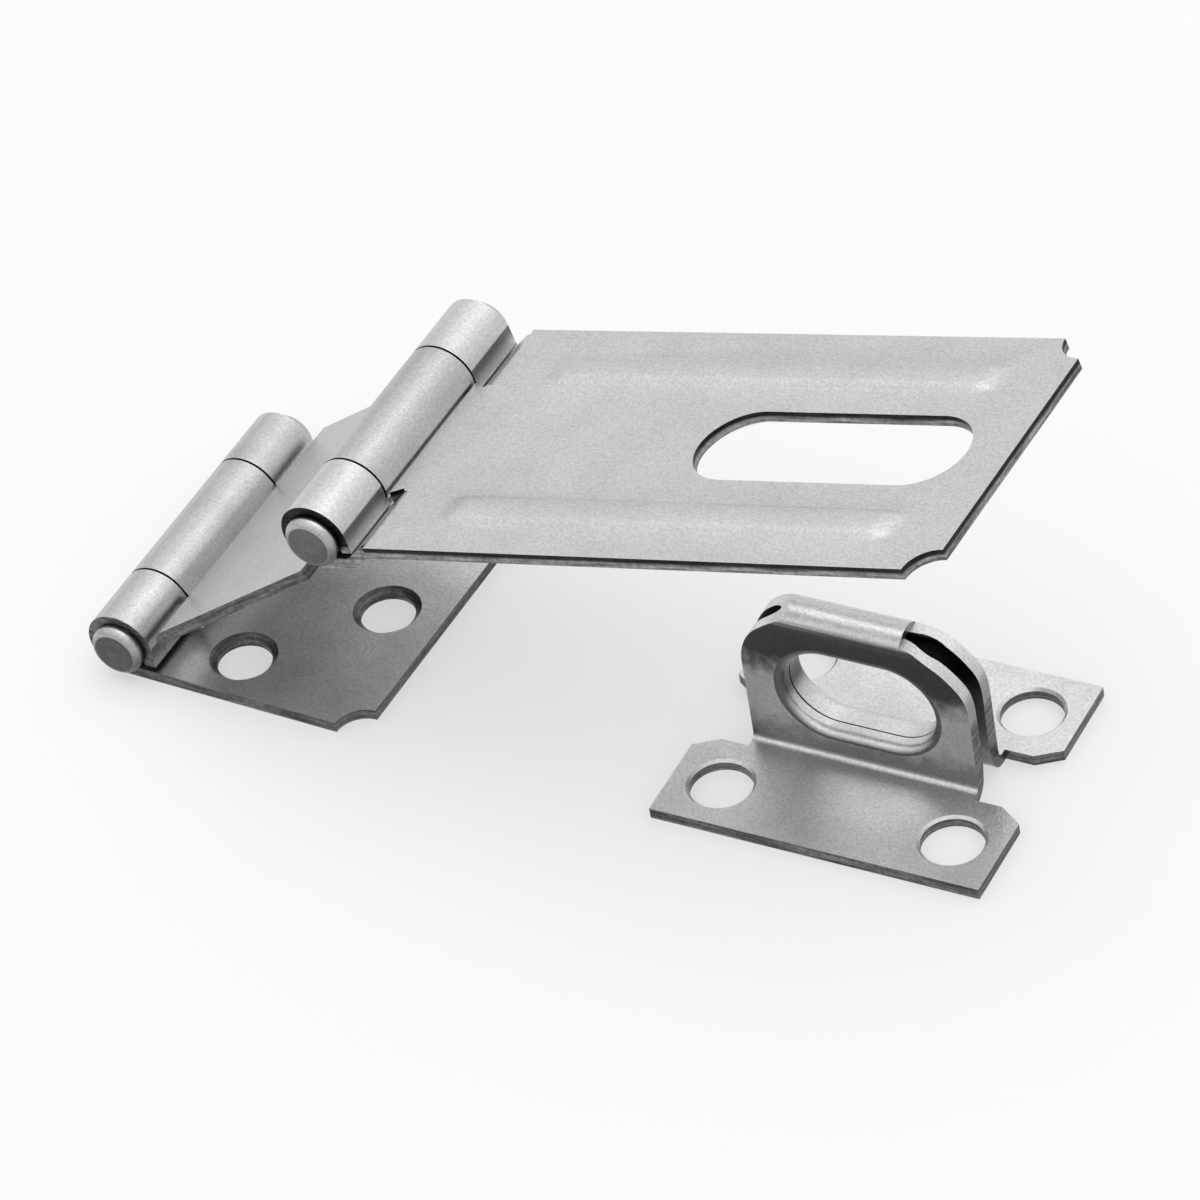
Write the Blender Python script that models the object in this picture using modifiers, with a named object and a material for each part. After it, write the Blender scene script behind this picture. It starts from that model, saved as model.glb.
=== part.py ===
"""Safety hasp with a double hinge, and its staple, in metres with +Z up.

Everything stands on one flat surface at z = 0. The fixed leaf lies on it, the link stands up from the lower
hinge, the slotted hasp leaf hangs on the upper hinge, and the staple stands loose under the raised leaf. The
origin is on the underside of the fixed leaf, halfway across it. X runs from the hinges towards the staple.
Each leaf is one sheet: a path seen from the side, drawn out across the width, thickened and then cut.
"""

import math

import bmesh
import bpy
from mathutils import Matrix

for leftover in list(bpy.data.objects):
    bpy.data.objects.remove(leftover, do_unlink=True)

MM = 0.001

# Sheet, pins and knuckles, shared by every leaf.
SHEET = 1.65 * MM
PIN_RADIUS = 3.3 * MM
PIN_CLEARANCE = 0.1 * MM
BARREL_LENGTH = 44.45 * MM
END_KNUCKLE = 10.1 * MM
KNUCKLE_SEAM = 0.35 * MM
CURL_SEGMENTS = 24
CURL_END_GAP = 0.2 * MM
RAMP_ANGLE = math.radians(34.5)
CORNER_NOTCH_RADIUS = 4.0 * MM
KNUCKLE_RELIEF = 1.8 * MM
BORE_RADIUS = PIN_RADIUS + PIN_CLEARANCE
MID_RADIUS = BORE_RADIUS + SHEET / 2
BARREL_RADIUS = BORE_RADIUS + SHEET
HALF_BARREL = BARREL_LENGTH / 2
MIDDLE_KNUCKLE_HALF = HALF_BARREL - END_KNUCKLE - KNUCKLE_SEAM
CUT_MARGIN = 3.0 * MM

# Pin heads stand off the knuckle ends and are domed to a flat end.
HEAD_GAP = 0.3 * MM
HEAD_RADIUS = 3.85 * MM
HEAD_FLAT_RADIUS = 3.15 * MM
HEAD_COLLAR = 0.75 * MM
HEAD_STANDOUT = 1.8 * MM
PIN_STEPS = 32

# Fixed leaf, with its lower pin behind the origin.
FIXED_REACH = 37.2 * MM
FIXED_CURL_GAP = 0.9 * MM
PIN_BEHIND_ORIGIN = 16.0 * MM
LINK_CLEARANCE = 2.55 * MM
SCREW_RADIUS = 3.8 * MM
COUNTERSINK_RADIUS = 4.75 * MM
COUNTERSINK_DEPTH = 0.95 * MM
FIXED_HOLE_EDGE = 7.15 * MM
FIXED_HOLE_OUTER = 8.6 * MM
FIXED_HOLE_PITCH = 13.95 * MM

# Link between the two hinges. Its plate is joggled up from the lower knuckle.
LINK_ANGLE = math.radians(36.9)
LINK_LENGTH = 47.7 * MM
LINK_RISE = 2.8 * MM
LINK_RAMP_START = 4.05 * MM

# Hasp leaf, a little wider than the barrels, with a slot and two stamped ribs.
HASP_ANGLE = math.radians(15.0)
HASP_REACH = 96.2 * MM
HASP_OVERHANG = 0.9 * MM
HASP_RISE = 2.7 * MM
HASP_RAMP_START = 4.1 * MM
TONGUE_GAP = 0.8 * MM
TONGUE_SLIT = 0.8 * MM
SLOT_LENGTH = 41.1 * MM
SLOT_WIDTH = 14.0 * MM
SLOT_TO_END = 6.6 * MM
RIB_CENTRE = 14.75 * MM
RIB_WIDTH = 5.8 * MM
RIB_HEIGHT = 0.8 * MM
RIB_START = 15.7 * MM
RIB_TO_END = 8.2 * MM
RIB_FADE = 3.0 * MM

# Staple, one strip folded into a double wall with two feet.
STAPLE_X = 87.9 * MM
STAPLE_Y = -0.825 * MM
STAPLE_YAW = math.radians(2.15)
FOOT_LENGTH = 47.4 * MM
STAPLE_DEPTH = 40.0 * MM
FOOT_CORNER_LENGTH = 3.4 * MM
FOOT_CORNER_DEPTH = 2.2 * MM
FOOT_INNER_GAP = 1.75 * MM
FOOT_BEND_RADIUS = 1.0 * MM
WALL_LENGTH = 32.6 * MM
WALL_GAP = 3.2 * MM
STAPLE_HEIGHT = 25.1 * MM
CROWN_LENGTH = 16.4 * MM
CROWN_STEP = 0.7 * MM
SHOULDER_ANGLE = math.radians(36.0)
SHOULDER_RADIUS = 3.5 * MM
LOOP_LENGTH = 21.7 * MM
LOOP_HEIGHT = 13.3 * MM
LOOP_CENTRE_Z = 12.5 * MM
COLLAR_WALL = 1.2 * MM
COLLAR_GAP = 0.3 * MM
FOOT_HOLE_RADIUS = 4.3 * MM
FOOT_HOLE_RIM = 4.8 * MM
FOOT_HOLE_CHAMFER = 0.5 * MM
FOOT_HOLE_TO_END = 7.0 * MM
FOOT_HOLE_TO_EDGE = 7.3 * MM

LOWER_PIN = (-PIN_BEHIND_ORIGIN, 0.0, BARREL_RADIUS)
UPPER_PIN = (
    LOWER_PIN[0] + LINK_LENGTH * math.cos(LINK_ANGLE) - LINK_RISE * math.sin(LINK_ANGLE),
    0.0,
    LOWER_PIN[2] + LINK_LENGTH * math.sin(LINK_ANGLE) + LINK_RISE * math.cos(LINK_ANGLE),
)

pieces = bpy.data.collections.new("safety_hasp")
bpy.context.scene.collection.children.link(pieces)
cutters = bpy.data.collections.new("cutters")
cutters.hide_render = True
bpy.context.scene.collection.children.link(cutters)


def coated_steel(name, colour, roughness):
    material = bpy.data.materials.new(name)
    material.use_nodes = True
    shader = material.node_tree.nodes["Principled BSDF"]
    shader.inputs["Base Color"].default_value = (*colour, 1.0)
    shader.inputs["Metallic"].default_value = 1.0
    shader.inputs["Roughness"].default_value = roughness
    return material


sheet_finish = coated_steel("zinc_plated_sheet", (0.66, 0.67, 0.68), 0.38)
pin_finish = coated_steel("zinc_plated_pin", (0.52, 0.53, 0.54), 0.32)


def arc(centre, radius, start, end, segments):
    """Points on an arc in a side view, both ends included."""
    turns = [math.radians(start + (end - start) * i / segments) for i in range(segments + 1)]
    return [(centre[0] + radius * math.cos(t), centre[1] + radius * math.sin(t)) for t in turns]


def curled_end(end_height):
    """The middle of the sheet round a knuckle at the pin's centre, from its free end to its lowest point."""
    return [(MID_RADIUS, end_height)] + arc((0.0, 0.0), MID_RADIUS, 0.0, 270.0, CURL_SEGMENTS)


def above_ramp(ramp_start):
    """How low a curl may come down over a ramp that begins at ramp_start."""
    ramp_top = -MID_RADIUS + (BARREL_RADIUS - ramp_start) * math.tan(RAMP_ANGLE)
    return ramp_top + SHEET / 2 / math.cos(RAMP_ANGLE) + CURL_END_GAP


def leaf(name, path, stations, location, angle, rise=None):
    """A sheet that follows the path in X and Z and runs through the stations in Y, turned up by the angle."""
    mesh = bpy.data.meshes.new(name)
    grid = bmesh.new()
    rows = []
    for x, z in path:
        lift = [rise(x, y) if rise else 0.0 for y in stations]
        rows.append([grid.verts.new((x, y, z + up)) for y, up in zip(stations, lift)])
    for low, high in zip(rows, rows[1:]):
        for i in range(len(stations) - 1):
            grid.faces.new((low[i], low[i + 1], high[i + 1], high[i]))
    bmesh.ops.recalc_face_normals(grid, faces=grid.faces)
    grid.to_mesh(mesh)
    grid.free()
    mesh.materials.append(sheet_finish)
    obj = bpy.data.objects.new(name, mesh)
    obj.location = location
    obj.rotation_euler = (0.0, -angle, 0.0)
    pieces.objects.link(obj)
    thick = obj.modifiers.new("thickness", "SOLIDIFY")
    thick.thickness = SHEET
    thick.offset = 0.0
    thick.use_even_offset = True
    return obj


def cut(target, cutter, operation="DIFFERENCE"):
    """Takes the cutter out of the target, or joins it on. The cutter stands in the target's frame."""
    cutter.parent = target
    cutter.display_type = "WIRE"
    cutter.hide_render = True
    for home in list(cutter.users_collection):
        home.objects.unlink(cutter)
    cutters.objects.link(cutter)
    boolean = target.modifiers.new(cutter.name, "BOOLEAN")
    boolean.operation = operation
    boolean.solver = "EXACT"
    boolean.object = cutter


def block(name, x_span, y_span, z_span):
    mesh = bpy.data.meshes.new(name)
    shape = bmesh.new()
    sizes = [high - low for low, high in (x_span, y_span, z_span)]
    middle = [(high + low) / 2 for low, high in (x_span, y_span, z_span)]
    bmesh.ops.create_cube(shape, size=1.0, matrix=Matrix.Translation(middle) @ Matrix.Diagonal((*sizes, 1.0)))
    shape.to_mesh(mesh)
    shape.free()
    return bpy.data.objects.new(name, mesh)


def drill(name, radius, x, y, z_span, segments=40):
    mesh = bpy.data.meshes.new(name)
    shape = bmesh.new()
    low, high = z_span
    place = Matrix.Translation((x, y, (low + high) / 2))
    bmesh.ops.create_cone(shape, cap_ends=True, segments=segments, radius1=radius, radius2=radius,
                          depth=high - low, matrix=place)
    shape.to_mesh(mesh)
    shape.free()
    return bpy.data.objects.new(name, mesh)


def turned(name, profile, steps):
    """A solid of revolution about Z, from a profile of (radius, height) that runs from top to bottom."""
    mesh = bpy.data.meshes.new(name)
    mesh.from_pydata([(r, 0.0, z) for r, z in profile], [(i, i + 1) for i in range(len(profile) - 1)], [])
    obj = bpy.data.objects.new(name, mesh)
    screw = obj.modifiers.new("turn", "SCREW")
    screw.steps = steps
    screw.render_steps = steps
    screw.use_merge_vertices = True
    screw.merge_threshold = 0.0001 * MM
    return obj


def plate_hole(name, x, y, radius, rim, rim_depth, bottom, top):
    """A screw hole through a plate, widened to the rim at its top face."""
    slope = (rim - radius) / rim_depth
    over = CUT_MARGIN / 3
    profile = [(0.0, top + over), (rim + over * slope, top + over), (radius, top - rim_depth),
               (radius, bottom - over), (0.0, bottom - over)]
    hole = turned(name, profile, 40)
    hole.location = (x, y, 0.0)
    return hole


def flat_cutter(name, points, low, high, upright=False):
    """An outline drawn out from low to high, along Z or, when upright, with its second coordinate along Z."""
    curve = bpy.data.curves.new(name, "CURVE")
    curve.dimensions = "2D"
    curve.fill_mode = "BOTH"
    curve.extrude = (high - low) / 2
    spline = curve.splines.new("POLY")
    spline.points.add(len(points) - 1)
    for point, (x, y) in zip(spline.points, points):
        point.co = (x, y, 0.0, 1.0)
    spline.use_cyclic_u = True
    outline = bpy.data.objects.new(name + "_outline", curve)
    bpy.context.scene.collection.objects.link(outline)
    bpy.context.view_layer.update()
    mesh = bpy.data.meshes.new_from_object(outline.evaluated_get(bpy.context.evaluated_depsgraph_get()))
    bpy.data.objects.remove(outline, do_unlink=True)
    tidy = bmesh.new()
    tidy.from_mesh(mesh)
    bmesh.ops.remove_doubles(tidy, verts=tidy.verts, dist=0.001 * MM)
    place = Matrix.Translation((0.0, 0.0, (low + high) / 2))
    if upright:
        place = Matrix.Translation((0.0, (low + high) / 2, 0.0)) @ Matrix.Rotation(math.pi / 2, 4, "X")
    bmesh.ops.transform(tidy, matrix=place, verts=tidy.verts)
    bmesh.ops.recalc_face_normals(tidy, faces=tidy.faces)
    tidy.to_mesh(mesh)
    tidy.free()
    mesh.name = name
    return bpy.data.objects.new(name, mesh)


def stadium(length, width, x, y):
    """A slot outline with round ends, lengthwise in X about the point x, y."""
    reach = (length - width) / 2
    return (arc((x + reach, y), width / 2, -90.0, 90.0, 14)
            + arc((x - reach, y), width / 2, 90.0, 270.0, 14))


def hinge_pin(name, location):
    """A headed pin along Y whose shank runs the length of the barrel."""
    inner = HALF_BARREL + HEAD_GAP
    collar = inner + HEAD_COLLAR
    end = HALF_BARREL + HEAD_STANDOUT
    dome = [(HEAD_RADIUS - (HEAD_RADIUS - HEAD_FLAT_RADIUS) * (1 - math.cos(t)),
             collar + (end - collar) * math.sin(t)) for t in (0.0, 0.45, 0.9, math.pi / 2)]
    upper = [(0.0, end)] + dome[::-1] + [(HEAD_RADIUS, inner), (PIN_RADIUS, inner)]
    profile = upper + [(r, -z) for r, z in reversed(upper)]
    pin = turned(name, profile, PIN_STEPS)
    pin.data.materials.append(pin_finish)
    pin.location = location
    pin.rotation_euler = (-math.pi / 2, 0.0, 0.0)
    pieces.objects.link(pin)
    return pin


# Fixed leaf: flat plate, tangent to the barrel's underside, curled back over the pin at both ends.
plate_mid = -MID_RADIUS
side_view = curled_end(-BORE_RADIUS + FIXED_CURL_GAP) + [(FIXED_REACH, plate_mid)]
fixed_leaf = leaf("fixed_leaf", side_view, [-HALF_BARREL, HALF_BARREL], LOWER_PIN, 0.0)
middle_span = HALF_BARREL - END_KNUCKLE
tall = BARREL_RADIUS + CUT_MARGIN
cut(fixed_leaf, block("fixed_leaf_knuckle_gap", (-tall, BARREL_RADIUS + LINK_CLEARANCE),
                      (-middle_span, middle_span), (-tall, tall)))
for side, y in (("near", -HALF_BARREL), ("far", HALF_BARREL)):
    cut(fixed_leaf, drill("fixed_leaf_notch_" + side, CORNER_NOTCH_RADIUS, FIXED_REACH, y, (-tall, tall)))
fixed_top = plate_mid + SHEET / 2
fixed_bottom = plate_mid - SHEET / 2
outer_row = FIXED_REACH - FIXED_HOLE_OUTER
inner_row = outer_row - FIXED_HOLE_PITCH
hole_edge = HALF_BARREL - FIXED_HOLE_EDGE
for side, x, y in (("near", inner_row, -hole_edge), ("middle", outer_row, 0.0), ("far", inner_row, hole_edge)):
    cut(fixed_leaf, plate_hole("fixed_leaf_hole_" + side, x, y, SCREW_RADIUS, COUNTERSINK_RADIUS,
                               COUNTERSINK_DEPTH, fixed_bottom, fixed_top))

# Link: middle knuckles at both ends. At the lower hinge the sheet ramps up from under the pin to the plate,
# and at the upper hinge it runs straight on under the pin and curls back towards the plate.
link_mid = -MID_RADIUS + LINK_RISE
ramp_end = LINK_RAMP_START + LINK_RISE / math.tan(RAMP_ANGLE)
lower_curl = curled_end(above_ramp(LINK_RAMP_START))
upper_curl = [(LINK_LENGTH - x, LINK_RISE + z) for x, z in reversed(curled_end(-BORE_RADIUS + CURL_END_GAP))]
side_view = lower_curl + [(LINK_RAMP_START, -MID_RADIUS), (ramp_end, link_mid)] + upper_curl
link_leaf = leaf("link_leaf", side_view, [-HALF_BARREL, HALF_BARREL], LOWER_PIN, LINK_ANGLE)
knuckle_reach = BARREL_RADIUS + KNUCKLE_RELIEF
tall = BARREL_RADIUS + LINK_RISE + CUT_MARGIN
beyond = HALF_BARREL + CUT_MARGIN
for end, span in (("lower", (-tall, knuckle_reach)), ("upper", (LINK_LENGTH - knuckle_reach, LINK_LENGTH + tall))):
    for side, across in (("near", (-beyond, -MIDDLE_KNUCKLE_HALF)), ("far", (MIDDLE_KNUCKLE_HALF, beyond))):
        cut(link_leaf, block("link_gap_" + end + "_" + side, span, across, (-tall, tall)))


def rib_rise(x, y):
    """Height of the two stamped ribs above the flat of the hasp leaf."""
    along = min(x - RIB_START, HASP_REACH - RIB_TO_END - x)
    across = RIB_WIDTH / 2 - abs(abs(y) - RIB_CENTRE)
    if along <= 0 or across <= 0:
        return 0.0
    lengthwise = math.sin(math.pi / 2 * min(along / RIB_FADE, 1.0))
    crosswise = math.sin(math.pi / 2 * min(across / (RIB_WIDTH / 2), 1.0))
    return RIB_HEIGHT * lengthwise * crosswise


# Hasp leaf: two arms ramp up from the end knuckles to the long plate, which has two ribs beside its slot. Between
# the arms the plate runs on flat as a tongue, slit from them at each side and just clear of the link.
hasp_mid = -MID_RADIUS + HASP_RISE
ramp_end = HASP_RAMP_START + HASP_RISE / math.tan(RAMP_ANGLE)
rib_end = HASP_REACH - RIB_TO_END
fades = [RIB_START + RIB_FADE * t for t in (0.0, 0.3, 0.6, 1.0)] + [rib_end - RIB_FADE * t for t in (1.0, 0.6, 0.3, 0.0)]
side_view = curled_end(above_ramp(HASP_RAMP_START)) + [(HASP_RAMP_START, -MID_RADIUS), (ramp_end, hasp_mid)]
side_view += [(x, hasp_mid) for x in fades] + [(HASP_REACH, hasp_mid)]
hasp_half = HALF_BARREL + HASP_OVERHANG
rib_lines = [RIB_WIDTH / 2 * t for t in (-1.0, -0.7, -0.4, 0.0, 0.4, 0.7, 1.0)]
stations = ([-hasp_half] + [-RIB_CENTRE + t for t in rib_lines] + [RIB_CENTRE + t for t in rib_lines] + [hasp_half])
hasp_leaf = leaf("hasp_leaf", side_view, stations, UPPER_PIN, HASP_ANGLE, rib_rise)
tall = BARREL_RADIUS + CUT_MARGIN
cut(hasp_leaf, block("hasp_knuckle_gap", (-tall, ramp_end), (-middle_span, middle_span), (-tall, tall)))
tongue_half = middle_span - TONGUE_SLIT
tongue_view = [(BARREL_RADIUS + TONGUE_GAP, hasp_mid), (RIB_START, hasp_mid)]
cut(hasp_leaf, leaf("hasp_tongue", tongue_view, [-tongue_half, tongue_half], (0.0, 0.0, 0.0), 0.0), "UNION")
beyond = hasp_half + CUT_MARGIN
for side, across in (("near", (-beyond, -HALF_BARREL)), ("far", (HALF_BARREL, beyond))):
    cut(hasp_leaf, block("hasp_shoulder_" + side, (-tall, ramp_end), across, (-tall, tall)))
for side, y in (("near", -hasp_half), ("far", hasp_half)):
    cut(hasp_leaf, drill("hasp_notch_" + side, CORNER_NOTCH_RADIUS, HASP_REACH, y, (-tall, tall)))
slot_x = HASP_REACH - SLOT_TO_END - SLOT_LENGTH / 2
cut(hasp_leaf, flat_cutter("hasp_slot", stadium(SLOT_LENGTH, SLOT_WIDTH, slot_x, 0.0), -tall, tall))

# Pins, each fixed in the outer knuckles and running in the link's middle knuckle.
lower_hinge_pin = hinge_pin("lower_hinge_pin", LOWER_PIN)
upper_hinge_pin = hinge_pin("upper_hinge_pin", UPPER_PIN)

# Staple: drawn across its depth as foot, wall, crown, wall and foot, then thickened and cut. The strip's
# length runs along the leaf's Y here, so the piece is turned a quarter before its yaw.
foot_mid = SHEET / 2
wall_mid = WALL_GAP / 2 + SHEET / 2
bend = FOOT_BEND_RADIUS + SHEET / 2
crown_z = STAPLE_HEIGHT - SHEET / 2 - wall_mid
half_side = [(STAPLE_DEPTH / 2, foot_mid)] + arc((wall_mid + bend, foot_mid + bend), bend, 270.0, 180.0, 4)
crown = arc((0.0, crown_z), wall_mid, 0.0, 180.0, 10)
side_view = half_side + crown + [(-x, z) for x, z in reversed(half_side)]
staple = leaf("staple", side_view, [-FOOT_LENGTH / 2, FOOT_LENGTH / 2], (STAPLE_X, STAPLE_Y, 0.0), 0.0)
staple.rotation_euler = (0.0, 0.0, STAPLE_YAW + math.pi / 2)
wall_end = WALL_LENGTH / 2
foot_end = FOOT_LENGTH / 2
foot_inner = WALL_GAP / 2 + SHEET + FOOT_INNER_GAP
over = STAPLE_HEIGHT + CUT_MARGIN
beyond = foot_end + CUT_MARGIN
for side, span in (("left", (wall_end, beyond)), ("right", (-beyond, -wall_end))):
    cut(staple, block("staple_end_" + side, (-foot_inner, foot_inner), span, (-CUT_MARGIN, over)))

# The crown ends in a low upright step. From there the shoulders fall away and round over into the wall ends.
bend_x = wall_end - SHOULDER_RADIUS
tangent = 90.0 - math.degrees(SHOULDER_ANGLE)
touch_x = bend_x + SHOULDER_RADIUS * math.sin(SHOULDER_ANGLE)
step_z = STAPLE_HEIGHT - CROWN_STEP
touch_z = step_z - (touch_x - CROWN_LENGTH / 2) * math.tan(SHOULDER_ANGLE)
bend_z = touch_z - SHOULDER_RADIUS * math.cos(SHOULDER_ANGLE)
shoulder = [(CROWN_LENGTH / 2, over), (CROWN_LENGTH / 2, step_z)]
shoulder += arc((bend_x, bend_z), SHOULDER_RADIUS, tangent, 0.0, 8)
shoulder += [(wall_end, bend_z - CUT_MARGIN), (beyond, bend_z - CUT_MARGIN), (beyond, over)]
for side, sign in (("left", 1.0), ("right", -1.0)):
    corner = flat_cutter("staple_shoulder_" + side, [(sign * x, z) for x, z in shoulder], -foot_inner, foot_inner, True)
    corner.rotation_euler = (0.0, 0.0, math.pi / 2)
    cut(staple, corner)

# The padlock loop. The rear wall's rim is drawn forwards into a collar that ends just short of the front wall.
collar = flat_cutter("staple_collar", stadium(LOOP_LENGTH + 2 * COLLAR_WALL, LOOP_HEIGHT + 2 * COLLAR_WALL, 0.0,
                                              LOOP_CENTRE_Z),
                     -(WALL_GAP + SHEET) / 2, WALL_GAP / 2 - COLLAR_GAP, True)
collar.rotation_euler = (0.0, 0.0, math.pi / 2)
cut(staple, collar, "UNION")
loop = flat_cutter("staple_loop", stadium(LOOP_LENGTH, LOOP_HEIGHT, 0.0, LOOP_CENTRE_Z),
                   -foot_inner, foot_inner, True)
loop.rotation_euler = (0.0, 0.0, math.pi / 2)
cut(staple, loop)

# Each foot is clipped at its inner corners and has a screw hole near each end.
hole_across = STAPLE_DEPTH / 2 - FOOT_HOLE_TO_EDGE
hole_along = foot_end - FOOT_HOLE_TO_END
nick = FOOT_INNER_GAP / 2
slant = FOOT_CORNER_LENGTH / FOOT_CORNER_DEPTH
for sx in (-1, 1):
    for sy in (-1, 1):
        place = "_" + ("rear" if sx > 0 else "front") + "_" + ("left" if sy > 0 else "right")
        corner = [(sx * (foot_inner - nick), sy * (foot_end - FOOT_CORNER_LENGTH - nick * slant)),
                  (sx * (foot_inner + FOOT_CORNER_DEPTH + nick / slant), sy * (foot_end + nick)),
                  (sx * (foot_inner - nick), sy * (foot_end + nick))]
        cut(staple, flat_cutter("staple_foot_corner" + place, corner, -CUT_MARGIN, CUT_MARGIN + SHEET))
        cut(staple, plate_hole("staple_hole" + place, sx * hole_across, sy * hole_along,
                               FOOT_HOLE_RADIUS, FOOT_HOLE_RIM, FOOT_HOLE_CHAMFER, 0.0, SHEET))
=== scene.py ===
import math

import bmesh
import bpy
from mathutils import Matrix, Vector


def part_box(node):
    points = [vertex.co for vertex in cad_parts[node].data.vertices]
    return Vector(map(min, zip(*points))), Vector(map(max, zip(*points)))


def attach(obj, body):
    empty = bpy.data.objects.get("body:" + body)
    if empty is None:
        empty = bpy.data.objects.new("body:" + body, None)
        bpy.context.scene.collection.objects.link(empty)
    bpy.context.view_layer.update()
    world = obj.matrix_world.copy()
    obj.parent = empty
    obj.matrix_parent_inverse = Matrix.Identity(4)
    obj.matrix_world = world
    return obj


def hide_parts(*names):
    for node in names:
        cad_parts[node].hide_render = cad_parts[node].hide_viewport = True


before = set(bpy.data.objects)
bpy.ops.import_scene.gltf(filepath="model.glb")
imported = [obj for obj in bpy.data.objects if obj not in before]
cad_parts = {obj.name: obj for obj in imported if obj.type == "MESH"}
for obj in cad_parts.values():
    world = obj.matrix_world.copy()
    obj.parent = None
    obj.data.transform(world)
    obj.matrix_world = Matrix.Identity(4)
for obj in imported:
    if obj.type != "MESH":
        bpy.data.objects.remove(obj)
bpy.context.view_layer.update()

# The fixed leaf is a zinc plated steel stamping that screws down flat. It is blanked with notched corners and
# countersunk holes, and both ends of its barrel edge are curled back over the lower pin.
MM = 0.001  # sizes are in millimetres until each piece is placed
SHEET = 1.65
BORE = 3.4
MIDLINE = BORE + SHEET / 2
BARREL = BORE + SHEET
HALF_BARREL = 22.225
END_KNUCKLE = 10.1
SEAM = 0.35
RAMP = math.radians(34.5)
NOTCH = 4.0
FIXED_REACH = 37.2
FREE_END = 0.9
KNUCKLE_ROOM = 1.3
FLAT_FROM = 10.5  # degrees up the barrel's side
LIP = 0.1
LIP_RISE = 0.1
LIP_BEND = 0.4
CREASE_REACH = 0.22
SCREW_HOLE = 3.8
COUNTERSINK = 4.75
SINK_DEPTH = 0.95
FIXED_HOLES = ((14.65, -15.075), (28.6, 0.0), (14.65, 15.075))
HOLE_STEPS = 64
PUNCH_LENGTH = 12.0
THROUGH = (-12.0, 12.0)
BEYOND = 30.0
WELD = 0.004
LOWER_PIN = (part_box("lower_hinge_pin")[0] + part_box("lower_hinge_pin")[1]) / 2
UPPER_PIN = (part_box("upper_hinge_pin")[0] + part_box("upper_hinge_pin")[1]) / 2


def bend(centre, radius, start, end, step=3.75):
    """Points of a bend in the side view, one every few degrees, both ends included."""
    count = max(2, round(abs(end - start) / step))
    turns = [math.radians(start + (end - start) * i / count) for i in range(count + 1)]
    return [(centre[0] + radius * math.cos(t), centre[1] + radius * math.sin(t)) for t in turns]


def fillet(path, corner, radius):
    """Rounds one corner of a side view path to the radius."""
    a, b, c = path[corner - 1], path[corner], path[corner + 1]
    back = (a[0] - b[0], a[1] - b[1])
    ahead = (c[0] - b[0], c[1] - b[1])
    lb, la = math.hypot(*back), math.hypot(*ahead)
    half = math.acos(max(-1, min(1, (back[0] * ahead[0] + back[1] * ahead[1]) / lb / la))) / 2
    cut = min(radius / math.tan(half), lb * 0.45, la * 0.45)
    radius = cut * math.tan(half)
    p = (b[0] + back[0] / lb * cut, b[1] + back[1] / lb * cut)
    q = (b[0] + ahead[0] / la * cut, b[1] + ahead[1] / la * cut)
    mid = ((p[0] + q[0]) / 2 - b[0], (p[1] + q[1]) / 2 - b[1])
    reach = radius / math.sin(half) / math.hypot(*mid)
    o = (b[0] + mid[0] * reach, b[1] + mid[1] * reach)
    t0, t1 = math.atan2(p[1] - o[1], p[0] - o[0]), math.atan2(q[1] - o[1], q[0] - o[0])
    turn = (t1 - t0 + math.pi) % (2 * math.pi) - math.pi
    count = max(2, round(abs(math.degrees(turn)) / 5))
    arc = [(o[0] + radius * math.cos(t0 + turn * i / count), o[1] + radius * math.sin(t0 + turn * i / count))
           for i in range(count + 1)]
    return path[:corner] + arc + path[corner + 1:]


def curl(end_height):
    """The sheet's midline round the pin, from its free end to its lowest point. The free end is turned out
    in a fine lip, and the side above it is flat up to a soft crease."""
    side = MIDLINE * math.cos(math.radians(FLAT_FROM))
    crease = MIDLINE * math.sin(math.radians(FLAT_FROM))
    flat = [(side + LIP, end_height), (side + LIP, end_height + LIP_RISE),
            (side + 0.02, end_height + LIP_BEND), (side + 0.012, crease - CREASE_REACH)]
    return flat + bend((0.0, 0.0), MIDLINE, FLAT_FROM, 270.0)


def over_ramp(ramp_start, clear=0.2):
    """Height at which a curl's free end stops just above a ramp."""
    return -MIDLINE + (BARREL - ramp_start) * math.tan(RAMP) + SHEET / 2 / math.cos(RAMP) + clear


def placed(name, shape):
    """Puts the shape in the scene as an object of its own."""
    mesh = bpy.data.meshes.new(name)
    shape.to_mesh(mesh)
    shape.free()
    piece = bpy.data.objects.new(name, mesh)
    bpy.context.scene.collection.objects.link(piece)
    return piece


def sheet(name, side_view, across):
    """Sheet metal from its side view, drawn out through the stations across and not yet thickened."""
    grid = bmesh.new()
    rows = [[grid.verts.new((x, y, z)) for y in across] for x, z in side_view]
    for low, high in zip(rows, rows[1:]):
        for i in range(len(across) - 1):
            grid.faces.new((low[i], low[i + 1], high[i + 1], high[i]))
    bmesh.ops.recalc_face_normals(grid, faces=grid.faces)
    return placed(name, grid)


def thicken(piece, faces, edges):
    """Gives the sheet its gauge, with its own plating on the faces and sheared steel round the edges, painted
    darker as a painted dark reflection, and a brighter zinc for broken edges as a painted highlight.
    """
    piece.data.materials.clear()
    for finish_of_part in (faces, edges, arris_highlight):
        piece.data.materials.append(finish_of_part)
    gauge = piece.modifiers.new("gauge", "SOLIDIFY")
    gauge.thickness = SHEET
    gauge.offset = 0.0
    gauge.use_even_offset = True
    gauge.material_offset_rim = 1


def trim(piece, cutter, operation="DIFFERENCE"):
    """Cuts the piece with the cutter, or joins them, in the flat frame that both are drawn in."""
    cutter.hide_render = True
    if not cutter.data.materials:
        cutter.data.materials.append(piece.data.materials[1])
    blade = piece.modifiers.new("trim", "BOOLEAN")
    blade.operation = operation
    blade.solver = "EXACT"
    blade.material_mode = "TRANSFER"
    blade.object = cutter


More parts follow.
